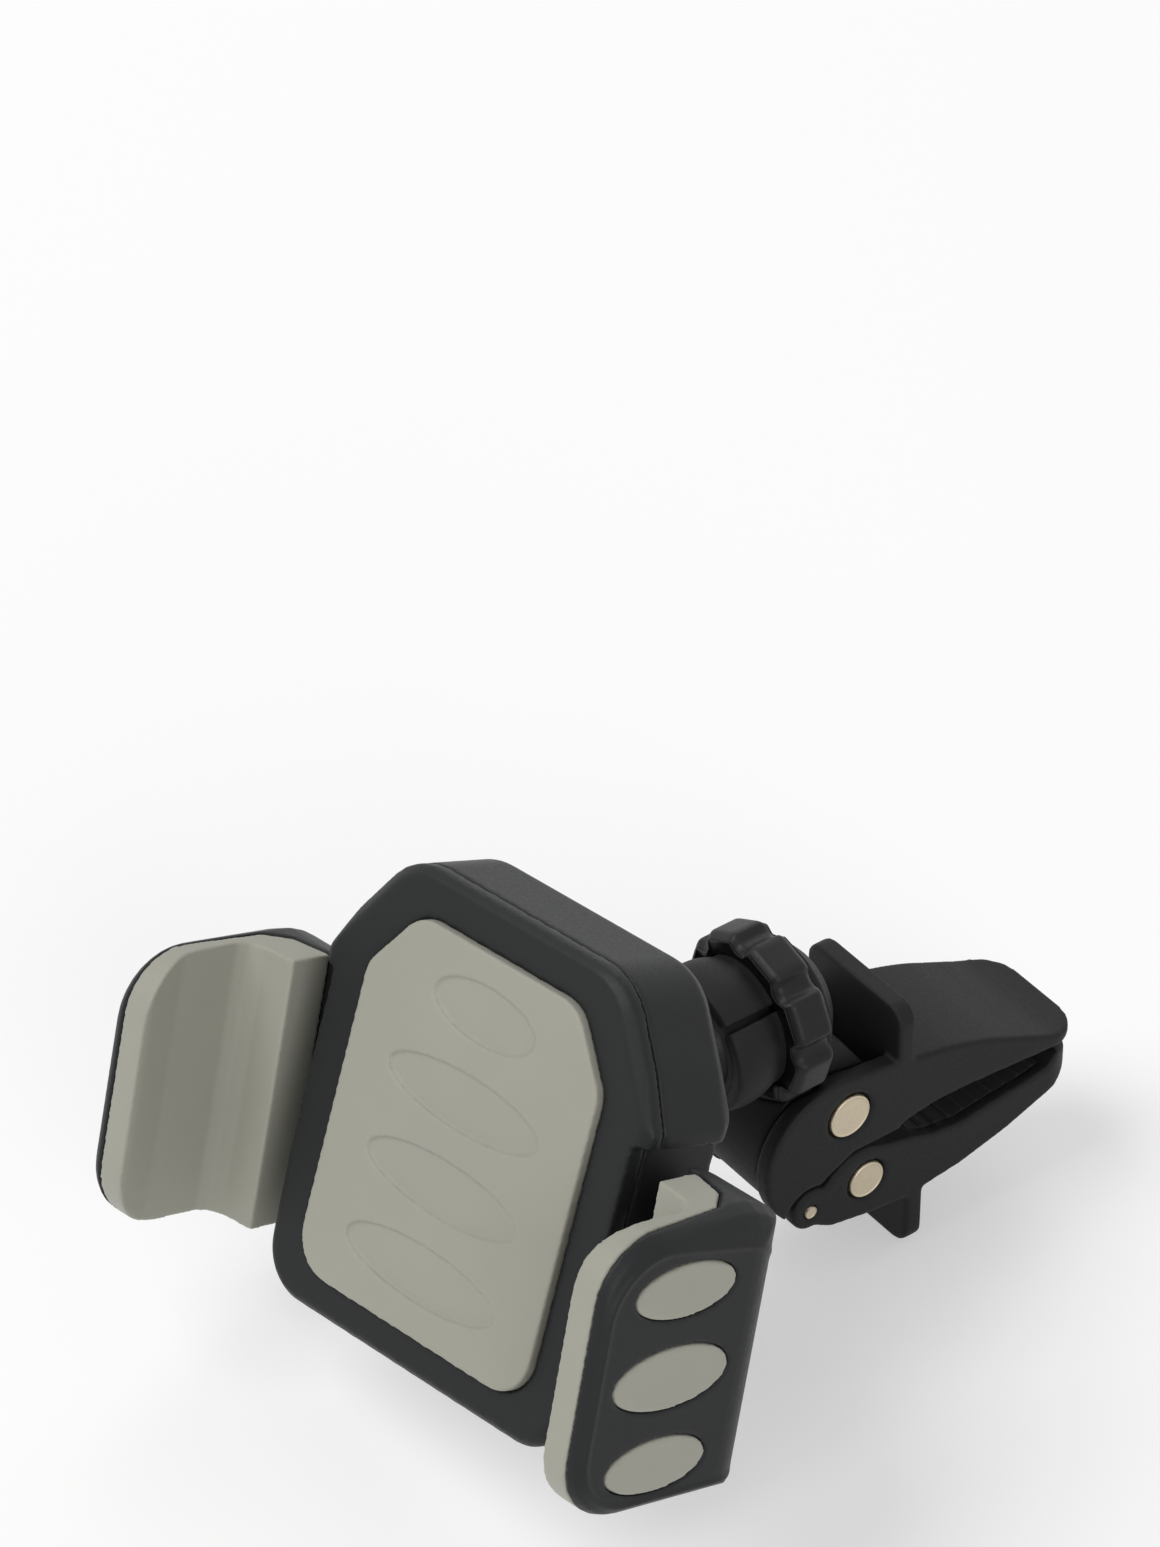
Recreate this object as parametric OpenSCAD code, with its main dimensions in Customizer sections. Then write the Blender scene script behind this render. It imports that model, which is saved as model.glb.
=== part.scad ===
// Air vent holder: a clip that grips one vent blade, a ball joint and a cradle with two geared jaws.
// Frame: origin on the blade slot, 10 mm behind the clip's tips. +X along the rivets, +Y into the vent, +Z up.

/* [Clip] */
// Half the width of the clip across its cheeks
clip_half_w = 8.3; // [7.5:0.1:9.5]
// Thickness of each cheek of the clip
cheek_t = 2.2; // [1.8:0.1:2.6]
// How far the jaw plates reach past the grip point
tip_reach = 13.3; // [12.5:0.1:15]
// Radius of each tip's corners, seen from above
tip_round = 4.4; // [2:0.1:5.5]
// Radius of the round cheek around the pins
cheek_r = 9.65; // [9:0.05:10.5]
// Thickness of the two stop fins
fin_t = 2.3; // [1.8:0.1:2.8]
// Height of the upper fin above the slot
fin_top = 17.2; // [15:0.1:19]
// Depth of the lower fin below the slot
fin_low = 18.5; // [15:0.1:20]
// Radius of the fins' free corners
fin_corner = 2.4; // [1:0.1:3]
// Thickness of the rubber grip strips
grip_t = 1.0; // [0.7:0.1:1.4]
// Radius of the fixed rivet's shank
rivet_r = 1.9; // [1.5:0.1:2.1]
// Radius of the fixed rivet's head
rivet_head_r = 2.75; // [2.5:0.05:3.2]
// Radius of the jaw rivet's head
jaw_rivet_head_r = 2.36; // [2.2:0.02:2.7]
// Radius of the hinge pin
hinge_pin_r = 0.8; // [0.6:0.05:1.2]
// Wire radius of the clip spring
spring_wire_r = 0.45; // [0.35:0.05:0.55]

/* [Ball joint] */
// Radius of the ball
ball_r = 6.0; // [5.6:0.1:6.3]
// Thickness of the liner around the ball
liner_t = 1.0; // [0.8:0.1:1.2]
// Wall of the split cup around the liner
cup_t = 1.45; // [1.2:0.05:1.8]
// Depth of the cup's mouth in front of the ball's centre
mouth_depth = 2.4; // [1.8:0.1:3]
// Width of the slits between the cup's fingers
slit_w = 0.8; // [0.5:0.1:1.2]
// Number of slits in the cup
slit_count = 4; // [3:1:6]
// Radius of the threaded neck under the grip ring
neck_r = 7.7; // [7.3:0.1:7.9]
// Outer radius of the grip ring over its lobes
ring_r = 10.35; // [10:0.05:11.2]
// Length of the grip ring along its axis
ring_len = 5.2; // [4:0.1:6]
// Number of grip lobes round the ring
lobe_count = 8; // [5:1:10]
// Depth of the valleys between the lobes
lobe_depth = 1.1; // [0.6:0.1:1.6]
// Radius of the stud between ball and cradle
stud_r = 3.0; // [2.5:0.1:3.2]

/* [Cradle placing] */
// Height of the ball above the blade slot
ball_z = 19; // [18.6:0.1:21]
// Distance from the grip point forward to the ball
ball_fore = 34; // [33.6:0.1:36]
// Lean of the cradle about its width
cradle_pitch = -24.4; // [-28:0.1:-14]
// Roll of the cradle
cradle_roll = -7.1; // [-12:0.1:12]
// Turn of the cradle to the side
cradle_yaw = 5.1; // [-12:0.1:12]
// Distance from the rest face to the ball
ball_reach = 36.2; // [34:0.1:40]
// Height of the ball above the middle of the jaws
ball_rise = 18.3; // [17.8:0.1:19.5]

/* [Jaws] */
// Opening between the two jaw pads
opening = 71.5; // [68:0.5:80]
// Depth from the rest face to the lips
grip_depth = 7.65; // [6.5:0.05:9]
// Reach of the lips past that depth
lip_reach = 6.2; // [4:0.1:8]
// How far each lip leans in
lip_lean = 1.15; // [0.5:0.05:2]
// Height of a jaw
jaw_h = 32.8; // [31.5:0.1:36]
// Depth of a jaw from lip to back
jaw_depth = 29.7; // [29.2:0.1:32]
// Wall of the jaw shell on its outer side
jaw_wall = 1.8; // [1.4:0.1:2.4]
// Thickness of the pad on a jaw's inner side
pad_t = 1.5; // [1:0.1:2]
// Thickness of the pad at its front lip
lip_t = 3.4; // [2.8:0.1:4]
// Radius of the jaw's corners, seen from the side
jaw_corner = 7.2; // [4:0.1:8]
// Rounding of the outer face's edge
jaw_round = 1.4; // [0.8:0.1:1.6]
// Fall of the outer face's top edge towards the back
jaw_fall = 3.6; // [0:0.1:5]
// Lean of the jaws, top forward
jaw_tilt = 6; // [0:0.5:7]
// Half length of the middle window
window_a = 8.1; // [6:0.1:8.5]
// Half height of the middle window
window_b = 3.6; // [2.5:0.1:4]
// Size of the end windows against the middle one
window_ratio = 0.87; // [0.7:0.01:1]
// Distance between windows
window_pitch = 10.1; // [9:0.1:11]

/* [Housing] */
// Half the width of the housing between the jaws
housing_half_w = 24; // [23:0.1:24.6]
// Half the width of the shoulders above the jaws
shoulder_half_w = 27; // [26:0.1:28]
// Height of the shoulders above the middle of the jaws
shoulder_z = 18.6; // [18.5:0.1:19.5]
// Height of the housing's top above the middle of the jaws
housing_top = 34.5; // [32:0.1:38]
// Depth of the housing's bottom below the middle of the jaws
housing_low = 18.5; // [17:0.1:21]
// Thickness of the soft rest pad
rest_t = 1.6; // [1.2:0.1:2]
// How far the rest pad stands proud of the front cover
rest_proud = 0.8; // [0.5:0.1:1]
// Thickness of the front cover's plate
front_t = 2.4; // [2:0.1:3]
// Depth of the rear cover
rear_depth = 11.2; // [11:0.1:12]
// Wall of the two covers
wall = 1.8; // [1.5:0.1:2]
// Radius of the cover screws' shanks
screw_r = 0.9; // [0.7:0.05:1.1]

/* [Rack drive] */
// Gear module
gear_module = 1; // [0.9:0.05:1.05]
// Teeth on the pinion
pinion_teeth = 12; // [10:2:12]
// Pressure angle of the teeth
pressure_angle = 25; // [22:1:26]
// Thickness of racks and pinion
rack_t = 2.8; // [2.4:0.1:3]
// Height of a rack bar above its teeth
rack_h = 5.4; // [4.5:0.1:6]
// Travel of each jaw inwards from the opening
close_travel = 3; // [1:0.5:3]
// Radius of the pinion's pin
pinion_pin_r = 2.2; // [1.8:0.1:2.6]

/* [Hidden] */

// Running clearance between turning or sliding pieces
run = 0.06;
// Clearance between pieces that move past each other
gap = 0.3;
// Clearance between fixed pieces
seat = 0.05;
eps = 0.01;
steps = 8;

charcoal = [0.18, 0.18, 0.18];
soft_grey = [0.58, 0.58, 0.55];
rubber_black = [0.09, 0.09, 0.10];
pale_metal = [0.72, 0.69, 0.62];

// Pins of the clip, as [y, z] from the grip point
base_pin = [-20.64, 5.93];
jaw_pin = [-17.9, -4.95];
hinge_at = [-25.85, -5.56];
// Middle of the round cheeks
cheek_at = [-22.6, 1.9];
// The jaw's knuckle round the hinge pin
knuckle_r = 3.1;
inner_half_w = clip_half_w - cheek_t;
grip_half_w = clip_half_w - 1.6;
grip_ribs = [-9:2:7];
rib_h = 0.3;
base_half_w = inner_half_w - gap;
fin_y = -13.9;
low_fin_y = -11.9;
// Crown of the upper jaw's roof, from the fin to the tip, as [y, z]
roof = [[fin_y, 10.3], [fin_y + fin_t, 9.7], [-5.5, 8.4], [0, 6.5], [5, 4.2], [9.9, 2.1], [tip_reach, 1.6]];

cup_in = ball_r + run + liner_t + run;
cup_out = cup_in + cup_t;
// The ring starts this far behind the ball's centre
ring_set = 4.4;
ring_front = -ball_fore + ring_set;
ring_back = ring_front + ring_len;
neck_end = ring_back + 1.2;
thread_gap = 0.1;
// Turn of the first lobe from +X
lobe_turn = 29;
socket_back = -ball_fore + cup_out - 0.6;

// Faces in the cradle's own frame: x across, y from the rest face towards the vent, z up from the jaws' middle
pad_x = opening / 2;
shell_x = pad_x + lip_t - lip_lean;
jaw_x = shell_x + jaw_wall;
jaw_mid_y = -grip_depth - lip_reach + 11.7;
jaw_front = -11.7;
jaw_back = jaw_front + jaw_depth;
// Clearance left between a jaw and the housing's side when the jaws are shut
jaw_gap = 1.05;
jaw_inner_x = housing_half_w + close_travel + jaw_gap;
// Width of the pad's wing at the back
wing_w = pad_x - jaw_inner_x - 1.3;
rack_reach = housing_half_w - wall - close_travel - gap;
front_face = rest_proud;
split_y = front_face + front_t;
rear_face = split_y + rear_depth;
rack_mid = rear_face - wall - gap - 0.1 - rack_t / 2;
rack_y0 = rack_mid - rack_t / 2;
pitch_r = gear_module * pinion_teeth / 2;
rack_base = pitch_r + 1.25 * gear_module;
washer_t = 0.75;
stud_flange_r = 5.2;
stud_flange_t = 1.6;
boss_r = 8.5;
boss_h = 1.6;
// Cover screws, set in from the housing's sides, top and bottom
screw_places = [[6 - housing_half_w, housing_top - 10.5], [housing_half_w - 6, housing_top - 10.5],
    [5.5 - housing_half_w, 2.9 - housing_low], [housing_half_w - 5.5, 2.9 - housing_low]];
// Radius of the front cover's screw bosses
screw_boss_r = 2;
// Clearance of the front cover's lip and bosses in the rear cover
lip_gap = 0.15;
window_places = [[window_pitch, window_ratio], [0, 1], [-window_pitch, window_ratio]];
window_mid = -0.9;
back_round = 8.4;

// Points of an arc about [cx, cy]
function arc(cx, cy, r, a0, a1, n) = [for (i = [0:n]) let (a = a0 + (a1 - a0) * i / n)
    [cx + r * cos(a), cy + r * sin(a)]];

// Points of an ellipse
function ellipse(a, b, n) = [for (i = [0:n - 1]) [a * cos(360 * i / n), b * sin(360 * i / n)]];

// A unit vector from p to q
function toward(p, q) = (q - p) / norm(q - p);

// Outline with a round at each corner: each entry is [x, y, radius], given counter-clockwise or clockwise
function rounded(p) = let (n = len(p)) [for (i = [0:n - 1]) each corner_arc(
    [p[(i + n - 1) % n].x, p[(i + n - 1) % n].y], [p[i].x, p[i].y], [p[(i + 1) % n].x, p[(i + 1) % n].y], p[i].z)];
function corner_arc(a, b, c, r) = r <= 0 ? [b] :
    let (u = toward(b, a), v = toward(b, c), half = acos(u * v) / 2, away = r / sin(half),
        m = b + (u + v) / norm(u + v) * away,
        p = b + u * r / tan(half), q = b + v * r / tan(half),
        a0 = atan2(p.y - m.y, p.x - m.x), a1 = atan2(q.y - m.y, q.x - m.x),
        turn = a1 - a0 > 180 ? a1 - a0 - 360 : (a1 - a0 < -180 ? a1 - a0 + 360 : a1 - a0))
    arc(m.x, m.y, r, a0, a0 + turn, steps);

// Extrudes a side outline, given as [y, z], across the clip from x0 to x1
module across(x0, x1) {
    translate([x0, 0, 0]) rotate([90, 0, 90]) linear_extrude(x1 - x0) children();
}

// Extrudes an outline given as [x, z] from y0 to y1
module along(y0, y1) {
    translate([0, y1, 0]) rotate([90, 0, 0]) linear_extrude(y1 - y0) children();
}

// A cylinder along X through [y, z]
module x_pin(at, r, x0, x1) {
    translate([x0, at.x, at.y]) rotate([0, 90, 0]) cylinder(h = x1 - x0, r = r, $fn = 48);
}

// A cylinder along Y from y0 to y1 through [x, z]
module y_pin(at, r, y0, y1) {
    translate([at.x, y0, at.y]) rotate([-90, 0, 0]) cylinder(h = y1 - y0, r = r, $fn = 48);
}

// Moves a shape from the socket's frame, with the ball's centre at the origin and the mouth up, to the clip
module on_socket() {
    translate([0, -ball_fore, ball_z]) rotate([90, 0, 0]) children();
}

// Moves a shape from the cradle's own frame to its place in front of the clip
module on_cradle() {
    translate([0, -ball_fore, ball_z])
        rotate([cradle_pitch, cradle_roll, cradle_yaw])
        translate([0, -ball_reach, -ball_rise]) children();
}

// Moves a shape from a jaw's own frame to the cradle's frame
module on_jaw() {
    translate([0, jaw_mid_y, 0.4]) rotate([jaw_tilt, 0, 0]) children();
}

// Outlines of the clip, as [y, z]

// Upper edge of the blade slot, from the crotch to the tip
slot_top = [[-17.7, 0.05], [-14.9, 0.15], [-11.3, 1.0], [-7.7, 1.5], [-4.6, 1.45], [0, 1.15], [tip_reach, 0.2]];
// Lower edge of the blade slot, from the tip to the crotch
slot_low = [[tip_reach - 0.8, -1.5], [9.6, -0.6], [8.4, -2.0], [5.5, -2.6], [1.4, -3.0], [-4.3, -3.7], [-8.4, -3.2],
    [-11.2, -2.2], [-14.9, -1.3], [-17.7, -0.25]];
// Upper edge of the lower jaw behind the slot, down to the knuckle
seam_low = [[-20.0, -0.3], [-21.3, -1.0], [-22.8, -2.0]];
// Underside of the lower jaw, from the knuckle to the tip
jaw_keel = [[-25.2, -8.0], [-22.8, -9.4], [-17.3, -10.4], [-11.5, -11.0], [-9.4, -10.6], [-4.0, -9.9],
    [2.5, -8.2], [9.4, -5.6], [tip_reach - 0.5, -3.4]];

// Side outline of the upper jaw: plate, round cheek and the seam against the lower jaw
module upper_side() {
    difference() {
        union() {
            translate(cheek_at) circle(r = cheek_r, $fn = 96);
            polygon(concat([[cheek_at.x, 0], [cheek_at.x, cheek_at.y + cheek_r - 0.02]], roof,
                [for (i = [len(slot_top) - 1:-1:0]) slot_top[i]]));
        }
        translate(hinge_at) circle(r = knuckle_r + gap, $fn = 64);
        polygon(concat([[-27.5, -14], [-27.0, -4.4], [-23.2, -1.6]],
            [for (i = [len(seam_low) - 2:-1:0]) [seam_low[i].x, seam_low[i].y + gap]],
            [[-17.7, 0.05], [-8, 0.05], [-8, -14]]));
    }
}

// Side outline of the lower jaw
module lower_side() {
    union() {
        translate(hinge_at + [0.25, 0.27]) circle(r = knuckle_r - 0.37, $fn = 64);
        polygon(concat(slot_low, seam_low, [hinge_at], jaw_keel));
    }
}

// Plan of the jaw plates, with rounded corners at the tips
module tip_plan(reach) {
    translate([0, 0, -20]) linear_extrude(40)
        polygon(rounded([[-clip_half_w, -40, 0], [clip_half_w, -40, 0],
            [clip_half_w, reach, tip_round], [-clip_half_w, reach, tip_round]]));
}

// A stop fin as [x, z], from the jaw at z0 to its free edge at z1
module fin_outline(z0, z1) {
    polygon(rounded([[-clip_half_w, z0, 0], [clip_half_w, z0, 0],
        [clip_half_w, z1, fin_corner], [-clip_half_w, z1, fin_corner]]));
}

// Heights of the slot's two edges at y
function top_z(y) = lookup(y, slot_top);
function low_z(y) = lookup(y, slot_low);

// Section of a rubber strip, as [y, z]: follows a slot edge and is t thick, away from the slot
strip_y = [-10.8, -7.7, -4.5, 0, 1.4, 4, 7.9];
module upper_strip(t) {
    polygon(concat([for (y = strip_y) [y, top_z(y)]],
        [for (i = [len(strip_y) - 1:-1:0]) [strip_y[i], top_z(strip_y[i]) + t]]));
}
module lower_strip(t) {
    polygon(concat([for (y = strip_y) [y, low_z(y)]],
        [for (i = [len(strip_y) - 1:-1:0]) [strip_y[i], low_z(strip_y[i]) - t]]));
}

// Fixed upper jaw: sloping plate, stop fin and two cheeks round the pins
module upper_jaw() color(charcoal) {
    difference() {
        union() {
            intersection() {
                across(-clip_half_w, clip_half_w) upper_side();
                tip_plan(tip_reach);
            }
            along(fin_y, fin_y + fin_t) fin_outline(roof[1].y - 2, fin_top);
        }
        // Space between the cheeks for the clip's base
        translate([-inner_half_w, -50, -20]) cube([2 * inner_half_w, 50 + fin_y - eps, 60]);
        // Relief round the grip ring
        y_pin([0, ball_z], ring_r + gap, ring_front - 2, ring_back + gap);
        x_pin(base_pin, rivet_r + seat, -20, 20);
        for (s = [-1, 1])
            x_pin(base_pin, rivet_head_r + 0.25, s > 0 ? clip_half_w - 0.9 : -20, s > 0 ? 20 : -clip_half_w + 0.9);
        across(-grip_half_w, grip_half_w) upper_strip(grip_t);
    }
}

// Rubber strip under the upper jaw, with ribs across the blade
module upper_grip() color(rubber_black) {
    across(-grip_half_w, grip_half_w) upper_strip(grip_t);
    for (y = grip_ribs)
        across(-grip_half_w, grip_half_w) translate([y, top_z(y)])
            polygon([[-0.5, 0.2], [0.5, 0.2], [0.2, -rib_h], [-0.2, -rib_h]]);
}

// Sprung lower jaw: plate, stop fin and two cheeks with the hinge knuckles
module lower_jaw() color(charcoal) {
    difference() {
        union() {
            intersection() {
                across(-clip_half_w, clip_half_w) lower_side();
                tip_plan(tip_reach - 0.5);
            }
            along(low_fin_y, low_fin_y + fin_t) fin_outline(-9, -fin_low);
        }
        translate([-inner_half_w, -50, -20]) cube([2 * inner_half_w, 50 + fin_y - eps, 60]);
        x_pin(jaw_pin, rivet_r + seat, -20, 20);
        for (s = [-1, 1])
            x_pin(jaw_pin, jaw_rivet_head_r + 0.25, s > 0 ? clip_half_w - 0.9 : -20, s > 0 ? 20 : -clip_half_w + 0.9);
        x_pin(hinge_at, hinge_pin_r + run, -20, 20);
        across(-grip_half_w, grip_half_w) lower_strip(grip_t);
    }
}

// Rubber strip on the lower jaw, with ribs across the blade
module lower_grip() color(rubber_black) {
    across(-grip_half_w, grip_half_w) lower_strip(grip_t);
    for (y = grip_ribs)
        across(-grip_half_w, grip_half_w) translate([y, low_z(y)])
            polygon([[-0.5, -0.2], [0.5, -0.2], [0.2, rib_h], [-0.2, rib_h]]);
}

// A rivet with two flush heads
module rivet(at, head_r) {
    x_pin(at, rivet_r, -clip_half_w, clip_half_w);
    for (s = [-1, 1])
        x_pin(at, head_r, s > 0 ? clip_half_w - 0.8 : -clip_half_w, s > 0 ? clip_half_w : -clip_half_w + 0.8);
}
module base_rivet() color(pale_metal) rivet(base_pin, rivet_head_r);
module jaw_rivet() color(pale_metal) rivet(jaw_pin, jaw_rivet_head_r);
module hinge_pin() color(pale_metal) x_pin(hinge_at, hinge_pin_r, -clip_half_w, clip_half_w);

// Moulded base: core between the cheeks, threaded neck and the split cup of the ball joint
module clip_base() color(charcoal) {
    difference() {
        union() {
            // Core between the cheeks, cut back round the grip ring
            difference() {
                across(-base_half_w, base_half_w) difference() {
                    hull() {
                        translate(cheek_at) circle(r = cheek_r - 0.6, $fn = 48);
                        translate([-16.5, 7.4]) circle(r = 1.2, $fn = 24);
                        translate([neck_end + 1.2, ball_z - 6]) circle(r = 2.6, $fn = 24);
                    }
                    translate(jaw_pin) circle(r = rivet_r + 3.4, $fn = 48);
                    polygon([[-19.5, -0.4], [-10, 2.0], [-10, -14], [-23.6, -14], [-22.5, -8.5]]);
                    translate([fin_y - gap, -30]) square([30, 60]);
                }
                y_pin([0, ball_z], ring_r + gap, ring_front - 3, ring_back + gap);
            }
            // Threaded neck
            y_pin([0, ball_z], neck_r, socket_back - 4, neck_end);
            // Round back of the neck
            translate([0, neck_end, ball_z]) rotate([-90, 0, 0])
                cylinder(h = 2.2, r1 = neck_r, r2 = neck_r - 2.6, $fn = 64);
            // Cup round the ball
            on_socket() rotate_extrude($fn = 96) intersection() {
                circle(r = cup_out, $fn = 96);
                translate([0, -cup_out]) square([cup_out, cup_out + mouth_depth]);
            }
        }
        // Seat of the liner and the mouth
        on_socket() rotate_extrude($fn = 96) intersection() {
            circle(r = cup_in, $fn = 96);
            translate([0, -cup_in]) square([cup_in, 2 * cup_in]);
        }
        // Slits between the fingers
        for (i = [0:slit_count - 1])
            translate([0, -ball_fore, ball_z]) rotate([0, 360 * (i + 0.5) / slit_count, 0])
                translate([-slit_w / 2, -20, 0]) cube([slit_w, 20 + 5.5, cup_out + 2]);
        x_pin(base_pin, rivet_r + seat, -20, 20);
        x_pin(hinge_at, hinge_pin_r + seat, -20, 20);
    }
}

// Torsion spring round the jaw rivet, shown as its coil
module clip_spring() color(pale_metal) {
    coil_r = rivet_r + seat + spring_wire_r;
    for (i = [-4:4])
        translate([i * 1.05, jaw_pin.x, jaw_pin.y]) rotate([0, 90, 0])
            rotate_extrude($fn = 48) translate([coil_r, 0]) circle(r = spring_wire_r, $fn = 16);
    for (s = [-1, 1])
        x_pin([jaw_pin.x, jaw_pin.y + coil_r * s], spring_wire_r * 0.9, s > 0 ? 0 : -4.2, s > 0 ? 4.2 : 0);
}

// Grip ring that tightens the cup: wide lobes with shallow valleys
module grip_ring() color(charcoal) {
    turn = 360 / lobe_count;
    difference() {
        translate([0, ring_front, ball_z]) rotate([-90, 0, 0]) intersection() {
            rotate([0, 0, -lobe_turn]) linear_extrude(ring_len) polygon([for (i = [0:lobe_count - 1]) each [
                for (a = [[-0.31, ring_r], [0, ring_r - 0.15], [0.31, ring_r],
                    [0.39, ring_r - lobe_depth * 0.8], [0.5, ring_r - lobe_depth],
                    [0.61, ring_r - lobe_depth * 0.8]])
                a[1] * [cos((i + a[0]) * turn), sin((i + a[0]) * turn)]]]);
            // Edge bevels
            rotate_extrude($fn = 72) polygon([[0, 0], [ring_r - 0.7, 0], [ring_r + 0.1, 0.8],
                [ring_r + 0.1, ring_len - 0.8], [ring_r - 0.7, ring_len], [0, ring_len]]);
        }
        y_pin([0, ball_z], neck_r + thread_gap, ring_front - 1, ring_back + 1);
    }
}

// Liner that grips the ball, free to turn in the cup
module ball_liner() color(rubber_black) {
    on_socket() rotate_extrude($fn = 96) difference() {
        intersection() {
            circle(r = ball_r + run + liner_t, $fn = 96);
            translate([0, -ball_r - 0.1]) square([cup_in, ball_r + 0.1 + mouth_depth - 0.3]);
        }
        circle(r = ball_r + run, $fn = 96);
        translate([-cup_in, -ball_r - 3]) square([cup_in + 2, 2 * ball_r + 6]);
    }
}

// Ball with its stud, flange and threaded end
module ball_stud() color(charcoal) on_cradle() {
    translate([0, ball_reach, ball_rise]) sphere(r = ball_r, $fn = 64);
    y_pin([0, ball_rise], stud_r, rear_face + boss_h + stud_flange_t, ball_reach - ball_r * 0.8);
    y_pin([0, ball_rise], stud_flange_r, rear_face + boss_h + run, rear_face + boss_h + stud_flange_t + eps);
    y_pin([0, ball_rise], 2.0, split_y + 3.0, rear_face + boss_h + stud_flange_t);
}

// Washer and nut inside the housing that hold the stud
module stud_washer() color(pale_metal) on_cradle() difference() {
    y_pin([0, ball_rise], 5.2, rear_face - wall - 0.9, rear_face - wall - run);
    y_pin([0, ball_rise], 2.0 + run, 0, 30);
}
module stud_nut() color(pale_metal) on_cradle() difference() {
    translate([0, rear_face - wall - 0.95, ball_rise]) rotate([90, 30, 0]) cylinder(h = 3.2, r = 4.4, $fn = 6);
    y_pin([0, ball_rise], 2.0 + run, 0, 30);
}

// Front outline of the housing, as [x, z], grown by d
function housing_outline(d) = rounded([
    [-housing_half_w - d, -housing_low - d, 6 + d], [housing_half_w + d, -housing_low - d, 6 + d],
    [housing_half_w + d, shoulder_z - d, 0], [shoulder_half_w + d, shoulder_z - d, 1.4],
    [housing_half_w - 1 + d, shoulder_z + 7.5 + d, 6], [housing_half_w - 7 + d, housing_top + d, 8 + d],
    [7 - housing_half_w - d, housing_top + d, 8 + d], [-housing_half_w + 1 - d, shoulder_z + 7.5 + d, 6],
    [-shoulder_half_w - d, shoulder_z - d, 1.4], [-housing_half_w - d, shoulder_z - d, 0]]);

// Rear cover: tray with the ball stud's boss, the pinion's pin, screw posts and side windows
module rear_cover() color(charcoal) on_cradle() {
    difference() {
        union() {
            difference() {
                hull() {
                    along(split_y, rear_face - 2.2) polygon(housing_outline(0));
                    along(split_y, rear_face - 0.7) polygon(housing_outline(-0.7));
                    along(split_y, rear_face) polygon(housing_outline(-2.2));
                }
                // Notches under the shoulders, where the jaws slide in
                for (s = [-1, 1]) translate([s > 0 ? housing_half_w : -50, split_y - 1, -30])
                    cube([50 - housing_half_w, 30, 30 + shoulder_z]);
                along(split_y - 1, rear_face - wall) polygon(housing_outline(-wall));
            }
            // Stud boss
            translate([0, rear_face - wall, ball_rise]) rotate([-90, 0, 0])
                cylinder(h = wall + boss_h, r1 = boss_r, r2 = boss_r - 1, $fn = 72);
            // Pinion pin
            y_pin([0, 0], pinion_pin_r, split_y + 1.2, rear_face - wall + eps);
            y_pin([0, 0], pinion_pin_r + 1.4, rack_y0 + rack_t + 0.15, rear_face - wall + eps);
            // Screw posts
            for (p = screw_places) y_pin(p, 2.6, split_y + 3, rear_face - wall + eps);
        }
        for (p = screw_places) {
            y_pin(p, screw_r + 0.15, 0, 30);
            y_pin(p, 1.9, rear_face - 1.6, 30);
            // Room for the front cover's boss
            y_pin(p, screw_boss_r + lip_gap, split_y - 1, split_y + 3);
        }
        y_pin([0, ball_rise], 2.0 + run, 0, 30);
        // Side windows for the racks
        for (s = [-1, 1]) rotate([0, s > 0 ? 0 : 180, 0])
            translate([housing_half_w - wall - 2, rack_y0 - 0.2, pitch_r - 0.9 * gear_module - 0.2])
            cube([wall + 8, rack_t + 0.4, rack_base + rack_h - pitch_r + 0.9 * gear_module + 0.4]);
    }
}

// Front cover: plate with a rebate for the rest pad, a locating lip and screw bosses
module front_cover() color(charcoal) on_cradle() {
    difference() {
        union() {
            difference() {
                hull() {
                    along(front_face + 0.9, split_y - run) polygon(housing_outline(0));
                    along(front_face, split_y - run) polygon(housing_outline(-0.9));
                }
                for (s = [-1, 1]) translate([s > 0 ? housing_half_w : -50, -5, -30])
                    cube([50 - housing_half_w, 30, 30 + shoulder_z]);
            }
            // Sleeve round the pinion pin that backs the friction washer
            y_pin([0, 0], pinion_pin_r + 1.6, split_y - 1, rack_y0 - washer_t);
            // Screw bosses that meet the rear cover's posts
            for (p = screw_places) y_pin(p, screw_boss_r, split_y - 1, split_y + 3 - run);
            // Locating lip
            difference() {
                along(split_y - 1, split_y + 1.6) polygon(housing_outline(-wall - lip_gap));
                along(split_y - 1.5, split_y + 2) polygon(housing_outline(-wall - 1.25));
                for (s = [-1, 1]) translate([s > 0 ? housing_half_w - wall - lip_gap : -50, -5, -30])
                    cube([50 - housing_half_w + wall + lip_gap, 30, 30 + shoulder_z]);
            }
        }
        for (p = screw_places) y_pin(p, screw_r + seat, front_face + 1.2, 30);
        y_pin([0, 0], pinion_pin_r + seat, split_y + 0.9, 30);
        // Rebate of the rest pad
        along(-5, rest_t) polygon(rest_outline(seat));
    }
}

// Outline of the rest pad, as [x, z], grown by d
function rest_outline(d) = let (w = housing_half_w - 5.5 + d, w2 = housing_half_w - 11.5 + d, low = 4.5 - housing_low - d)
    rounded([[-w, low, 5 + d], [w, low, 5 + d], [w, shoulder_z + 3 + d, 4], [w2, housing_top - 5 + d, 5 + d],
        [-w2, housing_top - 5 + d, 5 + d], [-w, shoulder_z + 3 + d, 4]]);

// Soft rest pad with shallow oval recesses
module rest_pad() color(soft_grey) on_cradle() difference() {
    along(0, rest_t - seat) polygon(rest_outline(0));
    for (z = [-7, 3, 13, 23])
        translate([0, 0, z]) along(-1, 0.5) polygon(ellipse(z > 20 ? 8 : 12, 3.2, 48));
}

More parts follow.
